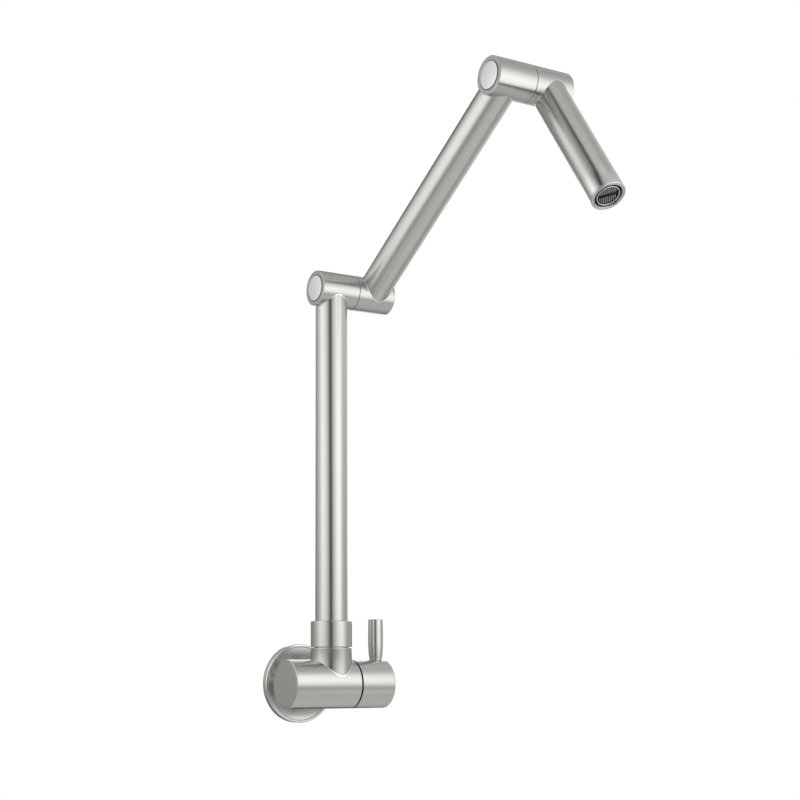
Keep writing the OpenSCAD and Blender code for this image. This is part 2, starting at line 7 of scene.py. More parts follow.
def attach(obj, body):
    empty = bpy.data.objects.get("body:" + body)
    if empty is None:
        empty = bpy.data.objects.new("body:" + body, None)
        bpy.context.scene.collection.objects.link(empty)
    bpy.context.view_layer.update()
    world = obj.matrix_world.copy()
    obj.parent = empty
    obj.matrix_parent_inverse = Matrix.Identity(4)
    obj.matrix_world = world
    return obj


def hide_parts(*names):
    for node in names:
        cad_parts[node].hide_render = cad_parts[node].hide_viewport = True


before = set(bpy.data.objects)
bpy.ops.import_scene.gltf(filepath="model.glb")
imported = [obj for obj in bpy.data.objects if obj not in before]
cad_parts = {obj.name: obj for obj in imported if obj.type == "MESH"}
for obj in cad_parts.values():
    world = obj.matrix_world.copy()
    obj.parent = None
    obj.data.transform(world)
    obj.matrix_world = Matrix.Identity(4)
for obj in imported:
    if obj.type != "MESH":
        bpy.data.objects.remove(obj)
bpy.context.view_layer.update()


# Camera: stands where the photograph was taken, to the left of the faucet and a
# little above the valve body, and looks slightly upwards along the folded arm.
camera_at = Vector((-0.54211, -0.93765, 0.01475))
camera_yaw, camera_pitch, camera_roll = radians(30.88), radians(6.77), radians(0.06)
camera_lens, film_width, camera_shift, camera_reach = 69.006, 36, 0.1, 50
ahead = Vector((sin(camera_yaw) * cos(camera_pitch), cos(camera_yaw) * cos(camera_pitch), sin(camera_pitch)))
level = Vector((cos(camera_yaw), -sin(camera_yaw), 0))
upright = level.cross(ahead)
across = level * cos(camera_roll) + upright * sin(camera_roll)
upwards = upright * cos(camera_roll) - level * sin(camera_roll)
camera = bpy.data.objects.new("studio_camera", bpy.data.cameras.new("studio_camera"))
bpy.context.scene.collection.objects.link(camera)
camera.matrix_world = Matrix.Translation(camera_at) @ Matrix((across, upwards, -ahead)).transposed().to_4x4()
camera.data.sensor_width = film_width
camera.data.lens = camera_lens
camera.data.shift_x = camera_shift
camera.data.shift_y = camera_shift
camera.data.clip_end = camera_reach
bpy.context.scene.camera = camera
bpy.context.scene.view_settings.view_transform = "Standard"


# Studio: white surroundings, and a pale floor well below the hanging faucet. The
# steel mirrors a ring of soft boxes half a metre off, with a dark gap towards
# the camera and a low box behind, under a dim ceiling.
camera_side_x, camera_side_y = -0.513, -0.858  # from the faucet to the camera, seen from above
mirrored_light, room_light = 1.85, 0.72
ring_middle, ring_radius, ring_low, ring_high = (0.02, -0.12), 0.5, -0.45, 1.4
floor_height, floor_radius, paper_grey, paper_glow = -0.34, 2.4, 0.72, 0.34
circle_angles = range(0, 360, 5)


def ramp(nodes, stops, name):
    """Greys between stops of (place from 0 to 1, grey)."""
    band = nodes.new("ShaderNodeValToRGB")
    band.name = name
    elements = band.color_ramp.elements
    while len(elements) < len(stops):
        elements.new(0.5)
    for element, (place, grey) in zip(elements, stops):
        element.position = place
        element.color = (grey, grey, grey, 1)
    return band


def math_step(nodes, links, operation, *values):
    """One step of arithmetic in a shader, on numbers and on other nodes' results."""
    node = nodes.new("ShaderNodeMath")
    node.operation = operation
    for socket, value in zip(node.inputs, values):
        if isinstance(value, (int, float)):
            socket.default_value = value
        else:
            links.new(value, socket)
    return node.outputs[0]


def turn_from_camera(nodes, links, x, y):
    """0 to 1 once round the faucet, 0.5 on the camera's side, more to its right."""
    toward = math_step(nodes, links, "ADD",
                       math_step(nodes, links, "MULTIPLY", x, camera_side_x),
                       math_step(nodes, links, "MULTIPLY", y, camera_side_y))
    right = math_step(nodes, links, "ADD",
                      math_step(nodes, links, "MULTIPLY", x, -camera_side_y),
                      math_step(nodes, links, "MULTIPLY", y, camera_side_x))
    return math_step(nodes, links, "MULTIPLY_ADD",
                     math_step(nodes, links, "ARCTAN2", right, toward), 0.5 / pi, 0.5)


def turn_of(angle):
    return 0.5 + angle / 360


def rise_of(angle):
    return 0.5 + angle / 180


def studio_world():
    """White to the camera, and to the steel a ceiling that is dimmer the higher it is."""
    world = bpy.data.worlds.new("studio_world")
    world.use_nodes = True
    nodes, links = world.node_tree.nodes, world.node_tree.links
    nodes.clear()
    place = nodes.new("ShaderNodeTexCoord")
    parts = nodes.new("ShaderNodeSeparateXYZ")
    links.new(place.outputs["Generated"], parts.inputs[0])
    height = math_step(nodes, links, "MULTIPLY_ADD",
                       math_step(nodes, links, "ARCSINE", parts.outputs["Z"]), 1 / pi, 0.5)
    heights = ramp(nodes, [(0, 0.41), (rise_of(-50), 0.35), (rise_of(20), 0.33), (rise_of(50), 0.31),
                           (rise_of(65), 0.29), (1, 0.29)], "sky_heights")
    links.new(height, heights.inputs[0])
    mirrored, spread, white = [nodes.new("ShaderNodeBackground") for _ in range(3)]
    for sky, strength in ((mirrored, mirrored_light), (spread, room_light), (white, 1)):
        sky.inputs["Color"].default_value = (1, 1, 1, 1)
        sky.inputs["Strength"].default_value = strength
    links.new(math_step(nodes, links, "MULTIPLY", heights.outputs["Color"], mirrored_light),
              mirrored.inputs["Strength"])
    rays = nodes.new("ShaderNodeLightPath")
    glossy_mix = nodes.new("ShaderNodeMixShader")
    links.new(rays.outputs["Is Glossy Ray"], glossy_mix.inputs[0])
    links.new(spread.outputs[0], glossy_mix.inputs[1])
    links.new(mirrored.outputs[0], glossy_mix.inputs[2])
    seen_white = math_step(nodes, links, "MAXIMUM", rays.outputs["Is Camera Ray"],
                           rays.outputs["Is Transmission Ray"])
    camera_mix = nodes.new("ShaderNodeMixShader")
    links.new(seen_white, camera_mix.inputs[0])
    links.new(glossy_mix.outputs[0], camera_mix.inputs[1])
    links.new(white.outputs[0], camera_mix.inputs[2])
    output = nodes.new("ShaderNodeOutputWorld")
    links.new(camera_mix.outputs[0], output.inputs["Surface"])
    return world


def studio_boxes():
    """The ring of soft boxes. Only reflections in the steel show it."""
    corners = [(ring_radius * cos(radians(a)), ring_radius * sin(radians(a))) for a in circle_angles]
    count = len(corners)
    mesh = bpy.data.meshes.new("studio_boxes")
    mesh.from_pydata([(x, y, z) for z in (ring_low, ring_high) for x, y in corners], [],
                     [(k, (k + 1) % count, count + (k + 1) % count, count + k) for k in range(count)])
    ring = bpy.data.objects.new("studio_boxes", mesh)
    ring.location = (*ring_middle, 0)
    bpy.context.scene.collection.objects.link(ring)
    light = bpy.data.materials.new("studio_box_light")
    light.use_nodes = True
    nodes, links = light.node_tree.nodes, light.node_tree.links
    nodes.clear()
    place = nodes.new("ShaderNodeTexCoord")
    parts = nodes.new("ShaderNodeSeparateXYZ")
    links.new(place.outputs["Object"], parts.inputs[0])
    around = turn_from_camera(nodes, links, parts.outputs["X"], parts.outputs["Y"])
    lean, lean_start = 25 / 360, -2.5 / 360  # the tall boxes lean over as they rise
    leaning = math_step(nodes, links, "MULTIPLY_ADD", parts.outputs["Z"], lean,
                        math_step(nodes, links, "ADD", around, lean_start))
    ring_height = ring_high - ring_low
    share = math_step(nodes, links, "MULTIPLY_ADD", parts.outputs["Z"],
                      1 / ring_height, -ring_low / ring_height)

    def box_light(where, sides, tall, name):
        """Brightness of one set of boxes: by angle round the faucet times by height in metres."""
        round_it = ramp(nodes, [(turn_of(angle), grey) for angle, grey in sides], name + "_round")
        by_height = ramp(nodes, [((z - ring_low) / ring_height, grey) for z, grey in tall], name + "_height")
        links.new(where, round_it.inputs[0])
        links.new(share, by_height.inputs[0])
        return math_step(nodes, links, "MULTIPLY", round_it.outputs["Color"], by_height.outputs["Color"])

    tall_boxes = box_light(leaning, [
        (-180, 0.20), (-145, 0.16), (-115, 0.29), (-95, 0.45), (-80, 0.75), (-65, 0.83), (-50, 0.72),
        (-38, 0.57), (-28, 0.39), (-20, 0.20), (-13, 0.02), (-7, 0), (-1, 0.11), (6, 0.31), (14, 0.50),
        (24, 0.65), (36, 0.87), (50, 0.98), (64, 0.94), (78, 0.72), (95, 0.37), (120, 0.26), (150, 0.32),
        (180, 0.20)], [
        (ring_low, 0.22), (-0.33, 0.31), (-0.25, 0.33), (-0.17, 0.23), (-0.09, 0.42), (0, 0.73),
        (0.08, 0.95), (0.18, 1), (0.32, 0.98), (0.48, 0.71), (0.65, 0.37), (0.85, 0.38), (1.1, 0.49),
        (ring_high, 0.8)], "tall_boxes")
    side_boxes = box_light(around, [
        (-180, 0), (-140, 0.05), (-110, 0.23), (-90, 0.21), (-70, 0.06), (-45, 0), (-20, 0.02), (0, 0.15),
        (20, 0), (45, 0), (70, 0.21), (95, 0.26), (130, 0.30), (180, 0.17)], [
        (ring_low, 1), (-0.25, 0.76), (-0.1, 0.42), (0.05, 0.04), (0.25, 0.32), (0.45, 0.87), (0.65, 0.97),
        (0.9, 0.6), (ring_high, 0.33)], "side_boxes")
    back_box = box_light(around, [
        (-180, 1), (-166, 1), (-160, 0), (170, 0), (175, 1), (180, 1)], [
        (ring_low, 0), (0.07, 0), (0.12, 0.65), (0.34, 0.65), (0.44, 0), (ring_high, 0)], "back_box")
    glow = nodes.new("ShaderNodeEmission")
    all_boxes = math_step(nodes, links, "ADD",
                          math_step(nodes, links, "ADD", tall_boxes, side_boxes), back_box)
    links.new(math_step(nodes, links, "MULTIPLY", all_boxes, mirrored_light), glow.inputs["Strength"])
    output = nodes.new("ShaderNodeOutputMaterial")
    links.new(glow.outputs[0], output.inputs["Surface"])
    mesh.materials.append(light)
    ring.visible_camera = False
    ring.visible_diffuse = False
    ring.visible_transmission = False
    ring.visible_shadow = False


def studio_floor():
    """A pale paper disc, brightened to the camera so that it meets the white."""
    mesh = bpy.data.meshes.new("studio_floor")
    mesh.from_pydata([(floor_radius * cos(radians(a)), floor_radius * sin(radians(a)), floor_height)
                      for a in circle_angles], [], [list(range(len(circle_angles)))])
    floor = bpy.data.objects.new("studio_floor", mesh)
    bpy.context.scene.collection.objects.link(floor)
    paper = bpy.data.materials.new("studio_paper")
    paper.use_nodes = True
    nodes, links = paper.node_tree.nodes, paper.node_tree.links
    nodes.clear()
    matt = nodes.new("ShaderNodeBsdfDiffuse")
    matt.inputs["Color"].default_value = (paper_grey, paper_grey, paper_grey, 1)
    glow = nodes.new("ShaderNodeEmission")
    rays = nodes.new("ShaderNodeLightPath")
    seen_glow = math_step(nodes, links, "MULTIPLY", rays.outputs["Is Camera Ray"], paper_glow)
    links.new(seen_glow, glow.inputs["Strength"])
    both = nodes.new("ShaderNodeAddShader")
    links.new(matt.outputs[0], both.inputs[0])
    links.new(glow.outputs[0], both.inputs[1])
    output = nodes.new("ShaderNodeOutputMaterial")
    links.new(both.outputs[0], output.inputs["Surface"])
    mesh.materials.append(paper)
    floor.visible_glossy = False


def studio_lamp(name, at, size, watts):
    """A soft square lamp that shines on the middle of the faucet."""
    aim = Vector((0, -0.1, 0.15))
    lamp = bpy.data.objects.new(name, bpy.data.lights.new(name, "AREA"))
    lamp.data.size = size
    lamp.data.energy = watts
    lamp.location = at
    lamp.rotation_euler = (aim - Vector(at)).to_track_quat("-Z", "Y").to_euler()
    lamp.visible_glossy = False
    bpy.context.scene.collection.objects.link(lamp)


bpy.context.scene.world = studio_world()
studio_boxes()
studio_floor()
studio_lamp("lamp_over_left", at=(-0.9, -0.7, 1.5), size=0.9, watts=16)
studio_lamp("lamp_right", at=(1.2, -0.6, 0.9), size=0.8, watts=7)


# Wall flange: a thin pressed cover of stainless steel. Its rim is a brighter copy
# of the steel, a painted highlight, and its dished face is brushed in circles. It
# hides the hole in the wall and is held there by the inlet stub that passes through it.
mm = 0.001  # sizes are in millimetres from here on
flange_r, flange_depth, flange_wall, dish = 27.25, 5, 1.4, 1.45
flange_rim_w, rim_step_w, rim_step_h, flange_room = 1.6, 0.5, 0.2, 0.1
flange_edge, flange_step_edge, flange_wall_edge = 0.9, 0.3, 0.15
stub_r = 12.5  # the inlet stub, which passes through the flange
wallwards = Matrix.Rotation(radians(-90), 4, "X")  # local Z runs into the wall
turned_crease = 32  # degrees, above which an edge looks sharp


def rounded(corners):
    """Outline points (radius, height) of a turned piece, from corners (radius, height, fillet)."""
    steps, lead = 4, 0.12
    points = []
    for i, (r, z, f) in enumerate(corners):
        at = Vector((r, z))
        if f == 0:
            points.append((r, z))
            continue
        back = Vector(corners[i - 1][:2]) - at
        on = Vector(corners[(i + 1) % len(corners)][:2]) - at
        half = back.angle(on) / 2
        cut = f / tan(half)
        back.normalize()
        on.normalize()
        middle = at + (back + on).normalized() * f / sin(half)
        start, end = at + back * cut - middle, at + on * cut - middle
        points.append(tuple(at + back * (cut + lead)))
        sweep = start.angle(end)
        for k in range(steps + 1):
            t = k / steps
            spoke = (start * sin((1 - t) * sweep) + end * sin(t * sweep)) / sin(sweep)
            points.append(tuple(middle + spoke))
        points.append(tuple(at + on * (cut + lead)))
    return points


def turned(name, rings, place=Matrix(), loop=True, sides=112):
    """A piece turned on its own Z axis. A ring's radius or height may depend on the angle."""
    verts, starts = [], []
    for r, z in rings:
        starts.append(len(verts))
        if r == 0:
            verts.append((0, 0, z * mm))
            continue
        for k in range(sides):
            a = 2 * pi * k / sides
            radius = r(a) if callable(r) else r
            height = z(a) if callable(z) else z
            verts.append((radius * cos(a) * mm, radius * sin(a) * mm, height * mm))
    starts.append(len(verts))
    faces = []
    pairs = [(i, i + 1) for i in range(len(rings) - 1)]
    if loop:
        pairs.append((len(rings) - 1, 0))
    for i, j in pairs:
        a, b = starts[i], starts[j]
        one_a, one_b = starts[i + 1] - a == 1, starts[j + 1] - b == 1
        if one_a and one_b:
            continue
        for k in range(sides):
            n = (k + 1) % sides
            if one_a:
                faces.append((a, b + k, b + n))
            elif one_b:
                faces.append((a + k, b, a + n))
            else:
                faces.append((a + k, b + k, b + n, a + n))
    return piece(name, verts, faces, place)


def piece(name, verts, faces, place=Matrix(), crease=turned_crease):
    """A new mesh object, smooth but for edges sharper than the crease."""
    mesh = bpy.data.meshes.new(name)
    mesh.from_pydata(verts, [], faces)
    mesh.validate()
    made = bpy.data.objects.new(name, mesh)
    bpy.context.scene.collection.objects.link(made)
    bpy.context.view_layer.objects.active = made
    made.select_set(True)
    bpy.ops.object.mode_set(mode="EDIT")
    bpy.ops.mesh.select_all(action="SELECT")
    bpy.ops.mesh.normals_make_consistent(inside=False)
    bpy.ops.object.mode_set(mode="OBJECT")
    made.select_set(False)
    mesh.polygons.foreach_set("use_smooth", [True] * len(mesh.polygons))
    mesh.set_sharp_from_angle(angle=radians(crease))
    made.matrix_world = place
    return made


def brushed_metal(name, colour, roughness, axis=(0, 0, 1), through=(0, 0, 0), lines=1.0, contrast=0.4,
                  stretched=0.94):
    """Metal brushed round its own axis, so light stretches along that axis."""
    rings_per_metre, waves_round, grain_detail, grain_roughness = 900, 45, 4, 0.62
    wear_scale, wear_detail, wear_share = 38, 2, 0.25
    dark_end, light_end, darker, lighter = 0.3, 0.7, 0.10, 0.06
    gloss_spread, relief, relief_depth = 0.02, 0.05, 0.00003
    metal = bpy.data.materials.new(name)
    metal.use_nodes = True
    nodes, links = metal.node_tree.nodes, metal.node_tree.links
    shader = nodes["Principled BSDF"]
    shader.inputs["Metallic"].default_value = 1
    shader.inputs["Anisotropic"].default_value = stretched
    place = nodes.new("ShaderNodeTexCoord")

    def vector(operation, *values):
        node = nodes.new("ShaderNodeVectorMath")
        node.operation = operation
        for socket, value in zip(node.inputs, values):
            if isinstance(value, (tuple, Vector)):
                socket.default_value = value
            else:
                links.new(value, socket)
        return node

    # the way in which light stretches: along the axis, across the brushed lines
    turned_axis = tuple(Vector(axis).normalized())
    reach = vector("SUBTRACT", place.outputs["Object"], tuple(Vector(through)))
    round_it = vector("CROSS_PRODUCT", turned_axis, reach.outputs[0])
    distance = vector("LENGTH", round_it.outputs[0])
    along = vector("DOT_PRODUCT", reach.outputs[0], turned_axis)
    to_world = nodes.new("ShaderNodeVectorTransform")
    to_world.vector_type = "VECTOR"
    to_world.convert_from = "OBJECT"
    to_world.convert_to = "WORLD"
    links.new(round_it.outputs[0], to_world.inputs[0])
    surface = nodes.new("ShaderNodeNewGeometry")
    stretch = vector("CROSS_PRODUCT", to_world.outputs[0], surface.outputs["Normal"])
    tangent = vector("NORMALIZE", stretch.outputs[0])
    links.new(tangent.outputs[0], shader.inputs["Tangent"])

    # fine rings of the brush, long round the piece and narrow along it
    ring = math_step(nodes, links, "ADD", along.outputs["Value"], distance.outputs["Value"])
    offset = vector("SCALE", turned_axis)
    links.new(math_step(nodes, links, "MULTIPLY", ring, rings_per_metre * lines), offset.inputs["Scale"])
    slow = vector("SCALE", round_it.outputs[0])
    slow.inputs["Scale"].default_value = waves_round
    grain_at = vector("ADD", slow.outputs[0], offset.outputs[0])
    grain = nodes.new("ShaderNodeTexNoise")
    grain.inputs["Scale"].default_value = 1
    grain.inputs["Detail"].default_value = grain_detail
    grain.inputs["Roughness"].default_value = grain_roughness
    links.new(grain_at.outputs[0], grain.inputs["Vector"])

    # broad patches where hands and cloths have dulled it
    handled = nodes.new("ShaderNodeTexNoise")
    handled.inputs["Scale"].default_value = wear_scale
    handled.inputs["Detail"].default_value = wear_detail
    links.new(place.outputs["Object"], handled.inputs["Vector"])
    blend = math_step(nodes, links, "MULTIPLY_ADD", handled.outputs["Fac"], wear_share,
                      math_step(nodes, links, "MULTIPLY", grain.outputs["Fac"], 1 - wear_share))
    tone = nodes.new("ShaderNodeValToRGB")
    shades = (dark_end, 1 - darker * contrast), (light_end, 1 + lighter * contrast)
    for element, (end, shade) in zip(tone.color_ramp.elements, shades):
        element.position = end
        element.color = (*[min(1, c * shade) for c in colour], 1)
    links.new(blend, tone.inputs[0])
    links.new(tone.outputs["Color"], shader.inputs["Base Color"])
    rough = nodes.new("ShaderNodeMapRange")
    rough.inputs["From Min"].default_value = dark_end
    rough.inputs["From Max"].default_value = light_end
    rough.inputs["To Min"].default_value = roughness - gloss_spread
    rough.inputs["To Max"].default_value = roughness + gloss_spread
    links.new(blend, rough.inputs["Value"])
    links.new(rough.outputs[0], shader.inputs["Roughness"])
    bump = nodes.new("ShaderNodeBump")
    bump.inputs["Strength"].default_value = relief * contrast
    bump.inputs["Distance"].default_value = relief_depth
    links.new(grain.outputs["Fac"], bump.inputs["Height"])
    links.new(bump.outputs[0], shader.inputs["Normal"])
    return metal


def dress(made, metal, body, slot, *nodes, second=None, where=None):
    """Gives a new piece its finish and its body, and hides the solids that it stands for."""
    made.data.materials.append(metal)
    if second:
        made.data.materials.append(second)
        for side in made.data.polygons:
            side.material_index = int(bool(where(side)))
    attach(made, body)
    if nodes:
        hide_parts(*nodes)


flange_steel = brushed_metal("flange_steel", (0.62, 0.615, 0.595), 0.17, stretched=0.35, contrast=0.3)
flange_rim_highlight = brushed_metal("flange_rim_painted_highlight_steel", (0.74, 0.735, 0.715), 0.24, stretched=0.2, contrast=0.2)
flange = turned("flange_cover", rounded([
    (stub_r + flange_room, dish - flange_depth, 0),
    (flange_r - flange_rim_w - rim_step_w, rim_step_h - flange_depth, flange_step_edge),
    (flange_r - flange_rim_w, -flange_depth, flange_step_edge), (flange_r, -flange_depth, flange_edge),
    (flange_r, 0, flange_wall_edge), (flange_r - flange_wall, 0, 0),
    (flange_r - flange_wall, flange_wall - flange_depth, 0),
    (stub_r + flange_room, dish + flange_wall - flange_depth, 0)]), wallwards, sides=144)
# the rim gets the brighter copy of the steel, a painted highlight
dress(flange, flange_steel, "base", "flange_steel", "wall_flange", second=flange_rim_highlight,
      where=lambda side: side.center.xy.length > (flange_r - flange_rim_w - flange_step_edge) * mm)


# Nipple in the wall: a short brass nipple with a half-inch pipe thread. It is
# screwed into the pipe in the wall and into the faucet's stub, with a hexagon
# key from its open end.
thread_r, thread_pitch, thread_depth, thread_reach = 10.48, 1.814, 0.95, 14
thread_flank, crest_flat, lead_in, lead_taper, cuts_per_turn = 2.6, 0.15, 1.0, 0.9, 12
shank_r, nipple_bore_r, nipple_inside = 9.58, 5.6, 24
stub_short = 1  # from the wall to the end of the stub


def thread(height):
    """Radius round a screw thread at a height: crests at the full radius, tapered at its start."""
    def radius(a):
        phase = (height / thread_pitch - a / (2 * pi)) % 1
        valley = min(1, max(0, thread_flank * abs(phase - 0.5) - crest_flat))
        taper = max(0, height - (thread_reach - lead_in))
        return thread_r - thread_depth * valley - taper * lead_taper
    return radius


brass_gold = (0.76, 0.60, 0.30)
cut_brass = brushed_metal("cut_brass", brass_gold, 0.30, lines=1.3)
thread_cuts = int(thread_reach / thread_pitch * cuts_per_turn)
nipple_rings = [(nipple_bore_r, thread_reach), (nipple_bore_r, -stub_short - nipple_inside),
                (shank_r, -stub_short - nipple_inside), (shank_r, 0)]
for k in range(thread_cuts + 1):
    cut_height = thread_reach * k / thread_cuts
    nipple_rings.append((thread(cut_height), cut_height))
nipple = turned("wall_nipple_thread", nipple_rings, wallwards, sides=96)
dress(nipple, cut_brass, "base", "brass", "wall_nipple")


# Valve body: a turned stainless barrel with a plug pressed in its left end. The
# inlet stub and the upright branch are tubes coped to the barrel, brazed and
# ground smooth, so a fine hollow line runs round each of them.
wall_gap = 45  # from the wall to the body's axis
body_r, body_left, body_right, body_edge, groove_edge = 16.4, 34.7, 15.4, 0.35, 0.42
seat_r, seat_left, chamber_r, chamber_right = 10.3, -6.9, 12, -10
plug_r, plug_bore_deep, plug_thick, plug_sunk, plug_edge, press_gap = 14.9, 4, 3.9, 0.02, 0.12, 0.05
stub_fillet, stub_edge, stub_start = 0.5, 0.3, 18
branch_r, branch_top, neck_r, neck_top, branch_forward = 14, 24.2, 11.7, 36, 1.4
branch_fillet, branch_edge, branch_bore_r, branch_bore_low = 0.26, 0.4, 9.5, 15
body_place = Matrix.Translation((0, -wall_gap * mm, 0))
riser_place = Matrix.Translation((0, (-wall_gap - branch_forward) * mm, 0))
sideways = Matrix.Rotation(radians(90), 4, "Y")  # local Z runs along +X


def saddle(r, barrel, lift=0.0, sign=1, end=0.0, forward=0.0):
    """Height of a tube's end where it sits on a barrel that lies along X.

    The barrel's axis is at height end, with the tube above it, or below it where sign is -1. The
    tube's axis stands forward of the barrel's.
    """
    return lambda a: end + sign * (sqrt(max(0, barrel * barrel - (r * sin(a) - forward) ** 2)) + lift)


def coped_foot(r, barrel, fillet, sign=1, end=0.0, forward=0.0):
    """Rings of the ground joint at a tube's coped end, from the barrel outwards."""
    steps, straight = 4, 0.15
    rings = []
    for k in range(steps + 1):
        t = radians(90 * k / steps)
        flare = r + fillet * (1 - sin(t))
        rings.append((flare, saddle(flare, barrel, fillet * (1 - cos(t)), sign, end, forward)))
    rings.append((r, saddle(r, barrel, fillet + straight, sign, end, forward)))
    return rings


def edge_highlight_mask(side):
    """Picks the rounded edges of a turned piece, not its ends or its side, for a painted highlight."""
    off_side, off_end = 0.15, 0.97
    return off_side < abs(side.normal.z) < off_end


def flared(radius):
    """Picks the ground joint at a tube's foot, where it is wider than its own radius."""
    least_flare = 0.04
    return lambda side: side.center.xy.length > (radius + least_flare) * mm


def branch_highlight_mask(side):
    """Picks the ground joint at the branch's foot, and its turned top edge, for a painted highlight."""
    edge_zone, off_side, off_end = 3 * branch_edge, 0.2, 0.95
    by_top = side.center.z > (branch_top - edge_zone) * mm
    return flared(branch_r)(side) or (by_top and off_side < side.normal.z < off_end)


steel_grey = (0.60, 0.592, 0.568)
body_steel = brushed_metal("body_steel", steel_grey, 0.25)
# painted highlight: ground joints and turned edges get a brighter copy of the steel in place of the light
# that they catch
painted_highlight_steel = brushed_metal("ground_seam_painted_highlight_steel", (0.76, 0.75, 0.73), 0.22, stretched=0.2, contrast=0.2)
barrel = turned("body_barrel", rounded([
    (plug_r + press_gap, -body_left, 0), (body_r, -body_left, body_edge), (body_r, body_right, groove_edge),
    (seat_r, body_right, 0), (seat_r, seat_left, 0), (chamber_r, chamber_right, 0),
    (chamber_r, plug_bore_deep - body_left, 0), (plug_r + press_gap, plug_bore_deep - body_left, 0)]),
    body_place @ sideways, sides=160)
# the barrel's rounded edges get the painted highlight
dress(barrel, body_steel, "base", "body_steel", "valve_body", second=painted_highlight_steel, where=edge_highlight_mask)

plug_steel = brushed_metal("end_plug_steel", (0.57, 0.565, 0.55), 0.32, stretched=0.1)
plug = turned("body_end_disc", rounded([
    (0, plug_sunk - body_left, 0), (plug_r, plug_sunk - body_left, plug_edge),
    (plug_r, plug_thick - body_left, 0), (0, plug_thick - body_left, 0)]),
    body_place @ sideways, loop=False, sides=160)
dress(plug, plug_steel, "base", "end_steel", "body_end_plug")

stub = turned("inlet_pipe_stub", coped_foot(stub_r, body_r, stub_fillet) + rounded([
    (stub_r, wall_gap - stub_short, stub_edge), (thread_r, wall_gap - stub_short, 0),
    (thread_r, stub_start, 0)]), body_place @ wallwards, sides=144)
dress(stub, body_steel, "base", "body_steel", "inlet_stub")

branch_foot = coped_foot(branch_r, body_r, branch_fillet, forward=branch_forward)
branch = turned("riser_branch_pipe", branch_foot + rounded([
    (branch_r, branch_top, branch_edge), (neck_r, branch_top, 0), (neck_r, neck_top, 0),
    (branch_bore_r, neck_top, 0), (branch_bore_r, branch_bore_low, 0)]), riser_place, sides=144)
# the branch's foot joint and top edge get the painted highlight
dress(branch, body_steel, "base", "body_steel", "riser_branch", second=painted_highlight_steel, where=branch_highlight_mask)


# Inside of the valve: a rubber washer with a strainer behind the nipple, then
# the brass headwork with its rubber seal and two ceramic discs, the spindle,
# its ring and the clip that holds it.
def moulded(name, colour, roughness, grain_size=420.0, relief_strength=0.15, speckle=0.12, gleam=0.5):
    """Rubber, plastic or fired ceramic: a fine even grain in colour and gloss."""
    grain_detail, dark_end, light_end, gloss_spread, relief_depth = 3, 0.3, 0.7, 0.05, 0.00005
    stuff = bpy.data.materials.new(name)
    stuff.use_nodes = True
    nodes, links = stuff.node_tree.nodes, stuff.node_tree.links
    shader = nodes["Principled BSDF"]
    shader.inputs["Specular IOR Level"].default_value = gleam
    place = nodes.new("ShaderNodeTexCoord")
    grain = nodes.new("ShaderNodeTexNoise")
    grain.inputs["Scale"].default_value = grain_size
    grain.inputs["Detail"].default_value = grain_detail
    links.new(place.outputs["Object"], grain.inputs["Vector"])
    tone = nodes.new("ShaderNodeValToRGB")
    shades = (dark_end, 1 - speckle), (light_end, 1 + speckle)
    for element, (end, shade) in zip(tone.color_ramp.elements, shades):
        element.position = end
        element.color = (*[min(1, c * shade) for c in colour], 1)
    links.new(grain.outputs["Fac"], tone.inputs[0])
    links.new(tone.outputs["Color"], shader.inputs["Base Color"])
    gloss = nodes.new("ShaderNodeMapRange")
    gloss.inputs["To Min"].default_value = roughness - gloss_spread
    gloss.inputs["To Max"].default_value = roughness + gloss_spread
    links.new(grain.outputs["Fac"], gloss.inputs["Value"])
    links.new(gloss.outputs[0], shader.inputs["Roughness"])
    bump = nodes.new("ShaderNodeBump")
    bump.inputs["Strength"].default_value = relief_strength
    bump.inputs["Distance"].default_value = relief_depth
    links.new(grain.outputs["Fac"], bump.inputs["Height"])
    links.new(bump.outputs[0], shader.inputs["Normal"])
    return stuff


def finish_node(name, stuff):
    """Gives a solid that stays in sight its finish."""
    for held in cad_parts[name].material_slots:
        held.material = stuff


seal_rubber = moulded("seal_rubber", (0.02, 0.02, 0.02), 0.55)
fired_ceramic = moulded("fired_ceramic", (0.86, 0.85, 0.80), 0.22, grain_size=900, relief_strength=0.03,
                        speckle=0.03)
body_axis = dict(axis=(1, 0, 0), through=(0, -wall_gap * mm, 0))
valve_brass = brushed_metal("valve_brass", brass_gold, 0.30, lines=1.2, **body_axis)
small_steel = brushed_metal("small_part_steel", (0.58, 0.58, 0.57), 0.30, lines=1.5, **body_axis)
for node in ("inlet_filter", "cartridge_seal", "cartridge_o_ring"):
    finish_node(node, seal_rubber)
for node in ("ceramic_disc_fixed", "ceramic_disc_moving"):
    finish_node(node, fired_ceramic)
for node in ("cartridge_housing", "cartridge_spindle"):
    finish_node(node, valve_brass)
finish_node("cartridge_clip", small_steel)


# Handle: a turned steel sleeve with a black glide ring in the groove before it.
# A slim lever with a swelling shank is screwed in on top, and a grub screw from
# below locks the sleeve on the spindle.
sleeve_start, sleeve_end, sleeve_bore_r, sleeve_floor, sleeve_edge = 16.2, 42.3, 14.4, 30.7, 0.7
glide_r, glide_bore_r, glide_gap, glide_edge = 15.45, 13.9, 0.05, 0.15
screw_hole_r, drill_low, drill_high = 2.02, -20, -5
lever_x, lever_top, lever_foot_r, lever_r, lever_crown_r = 36.5, 44, 4.1, 5.15, 5.0
lever_fillet, lever_crown_h, lever_crown_edge = 0.35, 0.9, 0.35
stud_r, stud_low, stud_top = 2.5, 12, 14.5
